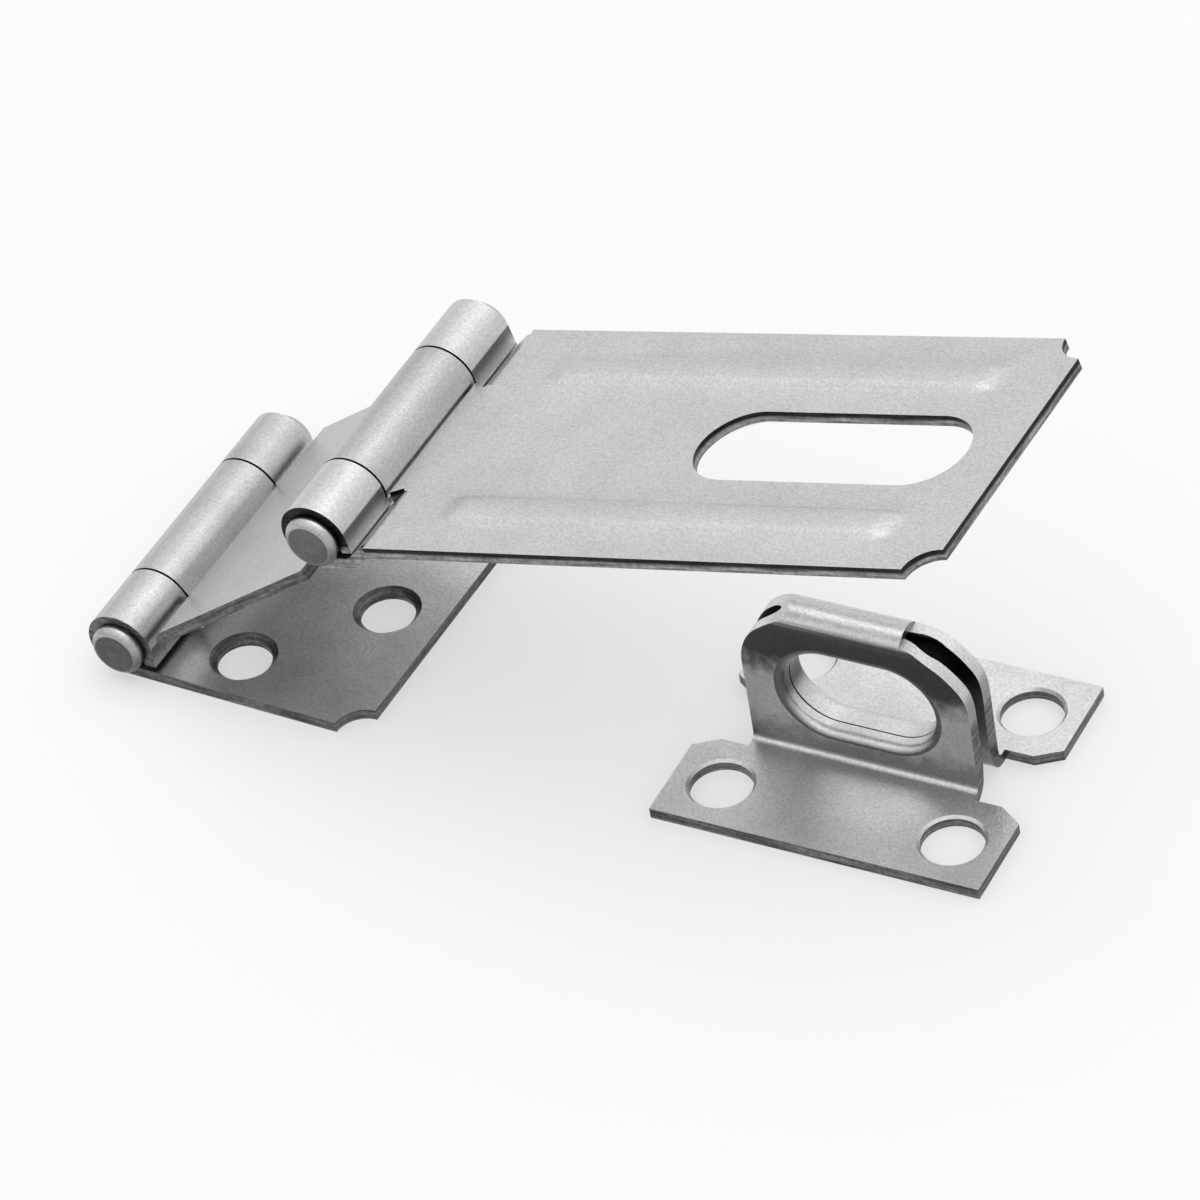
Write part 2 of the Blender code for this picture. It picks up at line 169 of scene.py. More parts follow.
def block(x, y, z):
    """A rectangular cutter from its spans along each axis."""
    shape = bmesh.new()
    size = Matrix.Diagonal((x[1] - x[0], y[1] - y[0], z[1] - z[0], 1.0))
    middle = Matrix.Translation(((x[0] + x[1]) / 2, (y[0] + y[1]) / 2, (z[0] + z[1]) / 2))
    bmesh.ops.create_cube(shape, size=1.0, matrix=middle @ size)
    return placed("block", shape)


def prism(outline, low, high, upright=False):
    """A cutter with this outline, drawn out along Z or, when upright, along Y with the outline standing."""
    shape = bmesh.new()
    if upright:
        base = [shape.verts.new((x, low, z)) for x, z in outline]
    else:
        base = [shape.verts.new((x, y, low)) for x, y in outline]
    face = shape.faces.new(base)
    drawn = bmesh.ops.extrude_face_region(shape, geom=[face])
    away = (0, high - low, 0) if upright else (0, 0, high - low)
    top = [part for part in drawn["geom"] if isinstance(part, bmesh.types.BMVert)]
    bmesh.ops.translate(shape, vec=away, verts=top)
    bmesh.ops.recalc_face_normals(shape, faces=shape.faces)
    return placed("prism", shape)


def disc(x, y, radius, z):
    """A round cutter."""
    return prism(bend((x, y), radius, 0.0, 360.0)[:-1], *z)


def value_input(tree, name, value):
    """Adds a number to what the node tree is given."""
    socket = tree.interface.new_socket(name, in_out="INPUT", socket_type="NodeSocketFloat")
    socket.default_value = value


def punch_tree():
    """Punches for screw holes, one on every point: a round shank that opens to a countersink at the top."""
    tree = bpy.data.node_groups.new("Screw hole punches", "GeometryNodeTree")
    tree.interface.new_socket("Centres", in_out="INPUT", socket_type="NodeSocketGeometry")
    for name, value in (("Hole radius", SCREW_HOLE), ("Rim radius", COUNTERSINK), ("Rim depth", SINK_DEPTH),
                        ("Plate top", SHEET)):
        value_input(tree, name, value)
    for name in ("Rim finish", "Wall finish"):
        tree.interface.new_socket(name, in_out="INPUT", socket_type="NodeSocketMaterial")
    tree.interface.new_socket("Punches", in_out="OUTPUT", socket_type="NodeSocketGeometry")
    new, link = tree.nodes.new, tree.links.new
    given = new("NodeGroupInput")
    shank = new("GeometryNodeMeshCylinder")
    shank.inputs["Vertices"].default_value = HOLE_STEPS
    shank.inputs["Depth"].default_value = PUNCH_LENGTH
    link(given.outputs["Hole radius"], shank.inputs["Radius"])
    widen = new("ShaderNodeMath")
    widen.operation = "SUBTRACT"
    link(given.outputs["Rim radius"], widen.inputs[0])
    link(given.outputs["Hole radius"], widen.inputs[1])
    top_radius = new("ShaderNodeMath")
    link(given.outputs["Rim radius"], top_radius.inputs[0])
    link(widen.outputs[0], top_radius.inputs[1])
    deep = new("ShaderNodeMath")
    deep.operation = "MULTIPLY"
    link(given.outputs["Rim depth"], deep.inputs[0])
    deep.inputs[1].default_value = 2.0
    cone = new("GeometryNodeMeshCone")
    cone.inputs["Vertices"].default_value = HOLE_STEPS
    link(top_radius.outputs[0], cone.inputs["Radius Top"])
    link(given.outputs["Hole radius"], cone.inputs["Radius Bottom"])
    link(deep.outputs[0], cone.inputs["Depth"])
    foot = new("ShaderNodeMath")
    foot.operation = "SUBTRACT"
    link(given.outputs["Plate top"], foot.inputs[0])
    link(given.outputs["Rim depth"], foot.inputs[1])
    height = new("ShaderNodeCombineXYZ")
    link(foot.outputs[0], height.inputs["Z"])
    seat = new("GeometryNodeTransform")
    link(cone.outputs["Mesh"], seat.inputs["Geometry"])
    link(height.outputs[0], seat.inputs["Translation"])
    whole = new("GeometryNodeMeshBoolean")
    whole.operation = "UNION"
    whole.solver = "EXACT"
    link(shank.outputs["Mesh"], whole.inputs["Mesh 2"])
    link(seat.outputs["Geometry"], whole.inputs["Mesh 2"])
    copies = new("GeometryNodeInstanceOnPoints")
    link(given.outputs["Centres"], copies.inputs["Points"])
    link(whole.outputs["Mesh"], copies.inputs["Instance"])
    real = new("GeometryNodeRealizeInstances")
    link(copies.outputs["Instances"], real.inputs["Geometry"])
    rims = new("GeometryNodeSetMaterial")
    link(real.outputs["Geometry"], rims.inputs["Geometry"])
    link(given.outputs["Rim finish"], rims.inputs["Material"])
    facing = new("GeometryNodeInputNormal")
    parts = new("ShaderNodeSeparateXYZ")
    link(facing.outputs["Normal"], parts.inputs[0])
    upright = new("FunctionNodeCompare")
    upright.operation = "EQUAL"
    link(parts.outputs["Z"], upright.inputs[0])
    upright.inputs["Epsilon"].default_value = 0.2
    walls = new("GeometryNodeSetMaterial")
    link(rims.outputs["Geometry"], walls.inputs["Geometry"])
    link(upright.outputs["Result"], walls.inputs["Selection"])
    link(given.outputs["Wall finish"], walls.inputs["Material"])
    out = new("NodeGroupOutput")
    link(walls.outputs["Geometry"], out.inputs["Punches"])
    return tree


def give_inputs(modifier, values):
    """Sets the modifier's inputs by the names that its node tree gives them."""
    for item in modifier.node_group.interface.items_tree:
        if item.item_type == "SOCKET" and item.in_out == "INPUT" and item.name in values:
            modifier[item.identifier] = values[item.name]


def made(piece):
    """The piece's mesh as its modifiers leave it."""
    bpy.context.view_layer.update()
    return bpy.data.meshes.new_from_object(piece.evaluated_get(bpy.context.evaluated_depsgraph_get()))


def screw_holes(piece, centres, hole, rim, depth, top, rim_finish):
    """Punches the screw holes of one piece, all at once, from the height of its top face."""
    mesh = bpy.data.meshes.new("hole_centres")
    mesh.from_pydata([(x, y, 0.0) for x, y in centres], [], [])
    cutter = bpy.data.objects.new("hole_punches", mesh)
    bpy.context.scene.collection.objects.link(cutter)
    nodes = cutter.modifiers.new("punches", "NODES")
    nodes.node_group = punches
    give_inputs(nodes, {"Hole radius": hole, "Rim radius": rim, "Rim depth": depth, "Plate top": top,
                        "Rim finish": rim_finish, "Wall finish": piece.data.materials[1]})
    punched = made(cutter)
    cutter.modifiers.clear()
    cutter.data = punched
    trim(piece, cutter)


def finish(piece, place, edge=0.16):
    """Breaks the piece's edges, which take a brighter zinc as a painted highlight, and puts its place, in
    metres, in its mesh.
    """
    mesh = made(piece)
    for modifier in list(piece.modifiers):
        cutter = getattr(modifier, "object", None)
        piece.modifiers.remove(modifier)
        if cutter:
            bpy.data.objects.remove(cutter)
    clean = bmesh.new()
    clean.from_mesh(mesh)
    bmesh.ops.remove_doubles(clean, verts=clean.verts, dist=WELD)
    bmesh.ops.dissolve_limit(clean, angle_limit=math.radians(0.05), verts=clean.verts, edges=clean.edges)
    bmesh.ops.recalc_face_normals(clean, faces=clean.faces)
    clean.to_mesh(mesh)
    clean.free()
    piece.data = mesh
    mesh.shade_smooth()
    soft = piece.modifiers.new("broken edges", "BEVEL")
    soft.width = edge
    soft.segments = 3
    soft.limit_method = "ANGLE"
    soft.angle_limit = math.radians(32)
    soft.harden_normals = True
    soft.miter_outer = "MITER_ARC"
    # The bevels take the third material, a brighter zinc that paints a highlight on the broken edges.
    soft.material = 2
    bpy.context.view_layer.update()
    built = bpy.context.evaluated_depsgraph_get()
    mesh = bpy.data.meshes.new_from_object(piece.evaluated_get(built), preserve_all_data_layers=True,
                                           depsgraph=built)
    piece.modifiers.clear()
    piece.data = mesh
    mesh.transform(place @ Matrix.Scale(MM, 4))


def noise(tree, vector, scale, detail):
    """A noise of this many grains a metre."""
    grains = tree.nodes.new("ShaderNodeTexNoise")
    grains.inputs["Scale"].default_value = scale
    grains.inputs["Detail"].default_value = detail
    tree.links.new(vector, grains.inputs["Vector"])
    return grains.outputs["Fac"]


def spread(tree, value, low, high, start=0.0, end=1.0, smooth=False):
    """The value, taken from the span start to end over to the span low to high."""
    change = tree.nodes.new("ShaderNodeMapRange")
    change.interpolation_type = "SMOOTHSTEP" if smooth else "LINEAR"
    for name, number in (("From Min", start), ("From Max", end), ("To Min", low), ("To Max", high)):
        change.inputs[name].default_value = number
    tree.links.new(value, change.inputs["Value"])
    return change.outputs["Result"]


def work(tree, operation, first, second):
    """One arithmetic step on two sockets, or on a socket and a number."""
    node = tree.nodes.new("ShaderNodeMath")
    node.operation = operation
    for socket, source in zip(node.inputs, (first, second)):
        if isinstance(source, float):
            socket.default_value = source
        elif source is not None:
            tree.links.new(source, socket)
    return node.outputs[0]


def satin(name, rough):
    """A new metal material: its tree, its shader, and the place of each point and its facing."""
    material = bpy.data.materials.new(name)
    material.use_nodes = True
    tree = material.node_tree
    shader = tree.nodes["Principled BSDF"]
    shader.inputs["Metallic"].default_value = 1.0
    shader.inputs["Roughness"].default_value = rough
    where = tree.nodes.new("ShaderNodeTexCoord")
    facing = tree.nodes.new("ShaderNodeSeparateXYZ")
    tree.links.new(where.outputs["Normal"], facing.inputs[0])
    return material, tree, shader, where.outputs["Object"], facing


def colour(tree, shader, depth):
    """Gives the metal a grey of this depth, with a trace of blue."""
    grey = tree.nodes.new("ShaderNodeCombineColor")
    for socket in ("Red", "Green"):
        tree.links.new(depth, grey.inputs[socket])
    tree.links.new(work(tree, "MULTIPLY", depth, 1.008), grey.inputs["Blue"])
    tree.links.new(grey.outputs["Color"], shader.inputs["Base Color"])


def unevenness(tree, shader, layers):
    """Bump layers, each a height, a strength and a depth in metres."""
    normal = None
    for height, strength, deep in layers:
        bump = tree.nodes.new("ShaderNodeBump")
        bump.inputs["Strength"].default_value = strength
        bump.inputs["Distance"].default_value = deep
        tree.links.new(height, bump.inputs["Height"])
        if normal:
            tree.links.new(normal, bump.inputs["Normal"])
        normal = bump.outputs["Normal"]
    tree.links.new(normal, shader.inputs["Normal"])


def zinc(name, tone, rough, upright_shade=None, clouds=0.05, shade_bands=(), signed=False, shaded_nook=None):
    """Zinc plated steel: faint clouds over a sandy grain, with a painted shade where it faces back along the
    hasp.
    Upright faces get a painted shade that darkens them: its argument gives the factor, and the facings
    between which it comes in. Each band paints more shade on them: the heights between which it comes in, and
    the factor.
    Past a place along X, undersides are painted nearly black, a painted shade where the barrel closes on the
    next sheet."""
    material, tree, shader, place, facing = satin(name, rough)
    broad = noise(tree, place, 110.0, 3.0)
    sand = noise(tree, place, 2600.0, 2.0)
    depth = work(tree, "MULTIPLY", spread(tree, broad, 1.0 - clouds, 1.0 + clouds, 0.3, 0.7),
                 spread(tree, sand, tone * 0.87, tone * 1.13, 0.3, 0.7))
    # Painted shade: faces turned back along -X are painted up to a third darker.
    painted_back_shade = spread(tree, facing.outputs["X"], 0.68, 1.0, -0.9, -0.45, smooth=True)
    depth = work(tree, "MULTIPLY", depth, painted_back_shade)
    # Painted shade on upright faces; when signed, it deepens on faces turned down instead.
    if upright_shade:
        dark, low, high = upright_shade
        level = facing.outputs["Z"]
        if not signed:
            level = work(tree, "ABSOLUTE", level, None)
        darker = spread(tree, level, dark, 1.0, low, high, smooth=True)
        # Painted shade on the upright faces at each band's heights, its edges wandering with a noise; flat
        # faces keep their tone.
        if shade_bands:
            height = tree.nodes.new("ShaderNodeSeparateXYZ")
            tree.links.new(place, height.inputs[0])
            patches = noise(tree, place, 420.0, 4.0)
            wander = work(tree, "ADD", height.outputs["Z"], spread(tree, patches, -0.0035, 0.0035))
            flat = spread(tree, level, 0.0, 1.0, 0.3, 0.7, smooth=True)
            for start, end, factor in shade_bands:
                band = spread(tree, wander, 1.0, factor, start, end, smooth=True)
                darker = work(tree, "MULTIPLY", darker, work(tree, "MAXIMUM", band, flat))
        depth = work(tree, "MULTIPLY", depth, darker)
    # Painted shade: undersides past a place along X are painted nearly black, where the barrel closes on the
    # next sheet.
    if shaded_nook:
        along = tree.nodes.new("ShaderNodeSeparateXYZ")
        tree.links.new(place, along.inputs[0])
        past = spread(tree, along.outputs["X"], 0.0, 0.95, shaded_nook, shaded_nook + 0.0005)
        under = spread(tree, facing.outputs["Z"], 1.0, 0.0, -0.13, -0.03, smooth=True)
        lit = work(tree, "SUBTRACT", 1.0, work(tree, "MULTIPLY", past, under))
        depth = work(tree, "MULTIPLY", depth, lit)
    colour(tree, shader, depth)
    unevenness(tree, shader, ((sand, 0.16, 0.0002), (noise(tree, place, 260.0, 2.0), 0.25, 0.0002)))
    return material


def sheared_shaded_edge(name, tone, tilt=0.0, rim=None):
    """Steel sheared at a sheet's edge: darker sheared steel, painted darker still as a painted dark
    reflection, with fine marks drawn out along the sheet, which is tilted this much about Y. The rim, a span
    of heights square to the sheet, is where this painted dark is deepest."""
    material, tree, shader, place, facing = satin(name, 0.42)
    level = tree.nodes.new("ShaderNodeMapping")
    level.inputs["Rotation"].default_value = (0.0, tilt, 0.0)
    tree.links.new(place, level.inputs["Vector"])
    drawn = tree.nodes.new("ShaderNodeVectorMath")
    drawn.operation = "MULTIPLY"
    drawn.inputs[1].default_value = (0.05, 0.05, 1.0)
    tree.links.new(level.outputs["Vector"], drawn.inputs[0])
    marks = noise(tree, drawn.outputs["Vector"], 2600.0, 2.0)
    nicks = noise(tree, place, 1500.0, 3.0)
    depth = work(tree, "MULTIPLY", spread(tree, marks, tone * 0.4, tone * 1.6, 0.3, 0.7),
                 spread(tree, nicks, 0.7, 1.3, 0.3, 0.7))
    if rim:
        height = tree.nodes.new("ShaderNodeSeparateXYZ")
        tree.links.new(level.outputs["Vector"], height.inputs[0])
        darkest = spread(tree, height.outputs["Z"], 1.0, 0.08, rim[0], rim[1], smooth=True)
        depth = work(tree, "MULTIPLY", depth, darkest)
    colour(tree, shader, depth)
    unevenness(tree, shader, ((nicks, 0.3, 0.0002),))
    return material


punches = punch_tree()
# A brighter zinc for broken edges: a painted highlight.
arris_highlight = zinc("zinc_arris_highlight", 0.92, 0.28)
side_view = curl(-BORE + FREE_END) + [(FIXED_REACH, -MIDLINE)]
fixed_leaf = sheet("fixed_plate", side_view, [-HALF_BARREL, HALF_BARREL])
# The fixed leaf's upright faces carry a painted shade.
leaf_finish = zinc("zinc_fixed_leaf", 0.58, 0.34, upright_shade=(0.4, 0.04, 0.16), clouds=0.12)
leaf_edge = sheared_shaded_edge("sheared_shaded_fixed_leaf", 0.13)
thicken(fixed_leaf, leaf_finish, leaf_edge)
inner_end = HALF_BARREL - END_KNUCKLE
trim(fixed_leaf, block((THROUGH[0], BARREL + KNUCKLE_ROOM), (-inner_end, inner_end), THROUGH))
for side in (-1, 1):
    trim(fixed_leaf, disc(FIXED_REACH, side * HALF_BARREL, NOTCH, THROUGH))
# The fixed leaf's countersinks take its dark edge steel too, a painted shade in its holes.
screw_holes(fixed_leaf, FIXED_HOLES, SCREW_HOLE, COUNTERSINK, SINK_DEPTH, -BORE, leaf_edge)
finish(fixed_leaf, Matrix.Translation(LOWER_PIN))
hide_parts("fixed_leaf")
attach(fixed_leaf, "base")

# The link is a second zinc plated stamping between the two barrels, with one middle knuckle on each. It is
# joggled up from the lower pin and runs straight on under the upper one, so the hasp folds flat both ways.
LINK_ANGLE = math.radians(36.9)
LINK_LENGTH = 47.7
LINK_RISE = 2.8
LINK_RAMP = 4.05
UPPER_FREE_END = 0.2
JOGGLE_RADIUS = 1.6
KNUCKLE_EDGE = BARREL + 1.8
SHADED_NOOK_START = 0.002
lower_end = curl(over_ramp(LINK_RAMP))
ramp_top = (LINK_RAMP + LINK_RISE / math.tan(RAMP), -MIDLINE + LINK_RISE)
upper_curl = curl(-BORE + UPPER_FREE_END)
upper_end = [(LINK_LENGTH - x, LINK_RISE + z) for x, z in reversed(upper_curl)]
side_view = lower_end + [(LINK_RAMP, -MIDLINE), ramp_top] + upper_end
for corner in (len(lower_end) + 1, len(lower_end)):
    side_view = fillet(side_view, corner, JOGGLE_RADIUS)
link_leaf = sheet("link_plate", side_view, [-HALF_BARREL, HALF_BARREL])
# The link's undersides under the upper barrel are painted nearly black as a shade.
link_finish = zinc("zinc_link", 0.57, 0.34, clouds=0.07, shaded_nook=UPPER_PIN.x + SHADED_NOOK_START)
thicken(link_leaf, link_finish, sheared_shaded_edge("sheared_shaded_link", 0.12, LINK_ANGLE))
middle = inner_end - SEAM
for span in ((THROUGH[0], KNUCKLE_EDGE), (LINK_LENGTH - KNUCKLE_EDGE, LINK_LENGTH + THROUGH[1])):
    for across in ((-BEYOND, -middle), (middle, BEYOND)):
        trim(link_leaf, block(span, across, THROUGH))
stand = Matrix.Translation(LOWER_PIN) @ Matrix.Rotation(-LINK_ANGLE, 4, "Y")
finish(link_leaf, stand)
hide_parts("link_leaf")
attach(link_leaf, "link")

# The hasp leaf is a zinc plated stamping that swings on the upper pin. Two arms ramp up from the end knuckles
# to a long plate, with a flat tongue slit from them, two pressed ribs to stiffen it, and the staple's slot.
HASP_ANGLE = math.radians(15.0)
HASP_REACH = 96.2
HASP_OVERHANG = 0.9
HASP_HALF = HALF_BARREL + HASP_OVERHANG
HASP_RISE = 2.7
HASP_RAMP = 4.1
HASP_FREE_END = 0.13
TONGUE_GAP = 0.35
TONGUE_TEAR = (7.28, 10.83)
TEAR_WIDTH = 0.13
TONGUE_TAPER = 0.42
TONGUE_LAP = 0.4
SLOT = (48.5, 89.6, 7.0)
RIB_CENTRE = 14.75
RIB_WIDTH = 5.8
RIB_FADE = 4.5
RIB_SPAN = (15.7, 88.0)
RIB_INPUTS = {"Height": 0.8, "Half width": RIB_WIDTH / 2, "Flank": 1.45, "Offset": RIB_CENTRE,
              "Start": RIB_SPAN[0], "End": RIB_SPAN[1], "Fade": RIB_FADE}
FADE_STATIONS = 8
FLANK_STATIONS = 20


def rib_tree():
    """Presses two long ribs up out of a flat sheet, with soft flanks and soft ends."""
    tree = bpy.data.node_groups.new("Pressed ribs", "GeometryNodeTree")
    tree.interface.new_socket("Sheet", in_out="INPUT", socket_type="NodeSocketGeometry")
    for name, value in RIB_INPUTS.items():
        value_input(tree, name, value)
    tree.interface.new_socket("Finish", in_out="INPUT", socket_type="NodeSocketMaterial")
    tree.interface.new_socket("Sheet", in_out="OUTPUT", socket_type="NodeSocketGeometry")
    new, link = tree.nodes.new, tree.links.new
    given = new("NodeGroupInput")
    here = new("GeometryNodeInputPosition")
    parts = new("ShaderNodeSeparateXYZ")
    link(here.outputs[0], parts.inputs[0])
    sideways = work(tree, "ABSOLUTE", parts.outputs["Y"], None)
    from_crest = work(tree, "ABSOLUTE", work(tree, "SUBTRACT", sideways, given.outputs["Offset"]), None)
    inside = work(tree, "SUBTRACT", given.outputs["Half width"], from_crest)
    from_end = work(tree, "MINIMUM", work(tree, "SUBTRACT", parts.outputs["X"], given.outputs["Start"]),
                    work(tree, "SUBTRACT", given.outputs["End"], parts.outputs["X"]))
    rises = []
    for depth, over in ((inside, "Flank"), (from_end, "Fade")):
        ease = new("ShaderNodeMapRange")
        ease.interpolation_type = "SMOOTHSTEP"
        link(depth, ease.inputs["Value"])
        link(given.outputs[over], ease.inputs["From Max"])
        rises.append(ease.outputs["Result"])
    lift = work(tree, "MULTIPLY", work(tree, "MULTIPLY", rises[0], rises[1]), given.outputs["Height"])
    up = new("ShaderNodeCombineXYZ")
    link(lift, up.inputs["Z"])
    press = new("GeometryNodeSetPosition")
    link(given.outputs["Sheet"], press.inputs["Geometry"])
    link(up.outputs[0], press.inputs["Offset"])
    whole = new("GeometryNodeRealizeInstances")
    link(press.outputs["Geometry"], whole.inputs["Geometry"])
    plated = new("GeometryNodeSetMaterial")
    link(whole.outputs["Geometry"], plated.inputs["Geometry"])
    link(given.outputs["Finish"], plated.inputs["Material"])
    out = new("NodeGroupOutput")
    link(plated.outputs["Geometry"], out.inputs["Sheet"])
    return tree


start = curl(over_ramp(HASP_RAMP, HASP_FREE_END))
ramp_top = (HASP_RAMP + HASP_RISE / math.tan(RAMP), -MIDLINE + HASP_RISE)
plate = -MIDLINE + HASP_RISE
fades = [RIB_FADE * i / FADE_STATIONS for i in range(FADE_STATIONS + 1)]
fade_in = [(RIB_SPAN[0] + run, plate) for run in fades]
fade_out = [(RIB_SPAN[1] - run, plate) for run in reversed(fades)]
side_view = start + [(HASP_RAMP, -MIDLINE), ramp_top] + fade_in + fade_out + [(HASP_REACH, plate)]
for corner in (len(start) + 1, len(start)):
    side_view = fillet(side_view, corner, JOGGLE_RADIUS)
rib_lines = [RIB_CENTRE + RIB_WIDTH * (i / FLANK_STATIONS - 0.5) for i in range(FLANK_STATIONS + 1)]
across = [-HASP_HALF] + [-y for y in reversed(rib_lines)] + rib_lines + [HASP_HALF]
hasp_leaf = sheet("hasp_plate", side_view, across)
# The hasp's upright faces, its ramps and barrel sides, carry a strong painted shade.
hasp_finish = zinc("zinc_hasp", 0.68, 0.38, upright_shade=(0.24, 0.3, 0.4), clouds=0.04)
pin_level = UPPER_PIN.z * math.cos(HASP_ANGLE) - UPPER_PIN.x * math.sin(HASP_ANGLE)
plate_top = pin_level + MM * (plate + SHEET / 2)
# The top half millimetre of the hasp's cut edges is painted darkest, part of their painted dark reflection.
dark_rim = (plate_top - 0.001, plate_top - 0.0005)
hasp_edge = sheared_shaded_edge("sheared_shaded_hasp", 0.24, HASP_ANGLE, dark_rim)
ribs = hasp_leaf.modifiers.new("ribs", "NODES")
ribs.node_group = rib_tree()
give_inputs(ribs, {**RIB_INPUTS, "Finish": hasp_finish})
pressed = made(hasp_leaf)
hasp_leaf.modifiers.clear()
hasp_leaf.data = pressed
thicken(hasp_leaf, hasp_finish, hasp_edge)


def both_halves(line):
    """A closed outline from its half on one side of the leaf's middle."""
    return line + [(x, -y) for x, y in reversed(line)]


ramp_end = ramp_top[0] + 0.5
arm_line = [(THROUGH[0], inner_end), (BARREL, inner_end), TONGUE_TEAR, (ramp_end, TONGUE_TEAR[1])]
trim(hasp_leaf, prism(both_halves(arm_line), *THROUGH))
tear_x, tear_y = TONGUE_TEAR
tongue_line = [(BARREL + TONGUE_GAP, inner_end - TONGUE_TAPER), (tear_x, tear_y - TEAR_WIDTH),
               (tear_x + TONGUE_GAP, tear_y + TONGUE_LAP), (RIB_SPAN[0], tear_y + TONGUE_LAP)]
tongue = prism(both_halves(tongue_line), plate - SHEET / 2, plate + SHEET / 2)
tongue.data.materials.append(hasp_finish)
tongue.data.materials.append(hasp_edge)
for face in tongue.data.polygons:
    face.material_index = 0 if abs(face.normal.z) > 0.5 else 1
trim(hasp_leaf, tongue, "UNION")
for side in (-1, 1):
    shoulder = sorted((side * HALF_BARREL, side * BEYOND))
    trim(hasp_leaf, block((THROUGH[0], ramp_top[0]), shoulder, THROUGH))
    trim(hasp_leaf, disc(HASP_REACH, side * HASP_HALF, NOTCH, THROUGH))
near, far, slot_radius = SLOT
slot_outline = bend((far - slot_radius, 0.0), slot_radius, -90.0, 90.0)
slot_outline += bend((near + slot_radius, 0.0), slot_radius, 90.0, 270.0)
trim(hasp_leaf, prism(slot_outline, *THROUGH))
stand = Matrix.Translation(UPPER_PIN) @ Matrix.Rotation(-HASP_ANGLE, 4, "Y")
finish(hasp_leaf, stand)
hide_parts("hasp_leaf")
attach(hasp_leaf, "hasp")

# Two zinc plated steel pins hold the barrels together. Each is pressed through its knuckles, and headed at
# both ends into a short collar with a rounded rim, with a painted shade on its lower faces, and a flat face
# in a much darker tone, faintly ringed.
FACE = ((0.0, 1.82), (1.15, 1.82), (1.3, 1.76), (1.45, 1.82), (2.95, 1.80))
COLLAR = ((2.95, 1.80), (3.15, 1.76), (3.4, 1.6), (3.62, 1.36), (3.78, 1.08), (3.85, 0.85), (3.85, 0.42),
          (3.76, 0.30), (3.3, 0.30))
COLLAR_ARRIS = math.radians(40)
ROUND_STEPS = 96
SEAM_WELD = 0.001


def headed_pin(name, node, body):
    """One pin, turned from the profiles of its two faces, its two collars and its shank."""
    low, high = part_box(node)
    shape = bmesh.new()
    runs = [(material, [(r, end * (HALF_BARREL + y)) for r, y in profile])
            for material, profile in ((1, FACE), (0, COLLAR)) for end in (-1, 1)]
    shank, head_start = COLLAR[-1]
    runs.append((0, [(shank, -HALF_BARREL - head_start), (shank, HALF_BARREL + head_start)]))
    for material, run in runs:
        line = [shape.verts.new((r, y, 0.0)) for r, y in run]
        edges = [shape.edges.new(pair) for pair in zip(line, line[1:])]
        before = set(shape.faces)
        bmesh.ops.spin(shape, geom=line + edges, cent=(0, 0, 0), axis=(0, 1, 0), angle=2 * math.pi,
                       steps=ROUND_STEPS)
        for face in set(shape.faces) - before:
            face.material_index = material
    bmesh.ops.remove_doubles(shape, verts=shape.verts, dist=SEAM_WELD)
    bmesh.ops.recalc_face_normals(shape, faces=shape.faces)
    pin = placed(name, shape)
    pin.data.shade_smooth()
    pin.data.set_sharp_from_angle(angle=COLLAR_ARRIS)
    pin.data.transform(Matrix.Translation((low + high) / 2) @ Matrix.Scale(MM, 4))
    pin.data.materials.append(collar_finish)
    pin.data.materials.append(face_finish)
    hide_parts(node)
    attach(pin, body)


# The collar's faces are painted darker as a shade the further they turn down.
collar_finish = zinc("zinc_pin_collar", 0.5, 0.3, upright_shade=(0.3, -0.25, 0.55), signed=True)
face_finish = zinc("zinc_pin_face", 0.11, 0.4, clouds=0.25)
headed_pin("lower_pin", "lower_hinge_pin", "base")
headed_pin("upper_pin", "upper_hinge_pin", "hasp")

# The staple is one zinc plated strip folded double: two screw-down feet, two walls side by side and a rolled
# crown. A slot through both walls takes the padlock, with its rim in the rear wall drawn to the front one.
FOOT_HALF = 23.7
FOOT_REACH = 20.0
FOOT_FLAT = 8.0
FOOT_BEND = 1.0
CLIP_ALONG = (4.2, 7.2)
CLIP_ACROSS = (20.3, 24.5)
CLIP_SLOPE = 2.2 / 3.4
CLIP_OVERRUN = 0.8
STAPLE_HOLES = [(x, y) for x in (-12.7, 12.7) for y in (-16.7, 16.7)]
STAPLE_HOLE = 4.3
STAPLE_HOLE_RIM = 4.7
STAPLE_HOLE_SINK = 0.35
STAPLE_TURN = math.radians(92.15)
STAPLE_EDGE = 0.22
STAPLE_HEIGHT = 25.1
WALL = 2.25
WALL_FACE = 3.25
WALLS_CLEAR = 5.0
WALL_FOOT = 5.5
FOOT_DEPTHS = (-3.0, 4.0)
THICKENS_FROM = 2.0
THINS_FROM = 20.5
CROWN_THINNING = 0.7
LEFT_SHOULDER = ((9.6, 23.9), (11.1, 23.3), (12.8, 22.3), (14.4, 20.9), (15.6, 19.0), (16.3, 16.6),
                 (16.4, 14.0))
RIGHT_SHOULDER = ((7.0, 23.7), (9.0, 23.3), (12.2, 21.5), (14.4, 19.4), (15.6, 17.6), (16.1, 15.5),
                  (16.2, 13.0))
LOOP = (21.7, 13.3, 12.5)
LOOP_COLLAR = 1.2
COLLAR_SPAN = (-2.4, 0.8)
FRONT_RIM = 1.2
REAR_RIM = 1.8
RIM_STEPS = 8


def round_slot(grow):
    """The padlock slot's outline in the wall's plane, wider all round by grow."""
    length, height, level = LOOP
    radius = height / 2 + grow
    reach = (length - height) / 2
    return bend((reach, level), radius, -90.0, 90.0, 5.0) + bend((-reach, level), radius, 90.0, 270.0, 5.0)


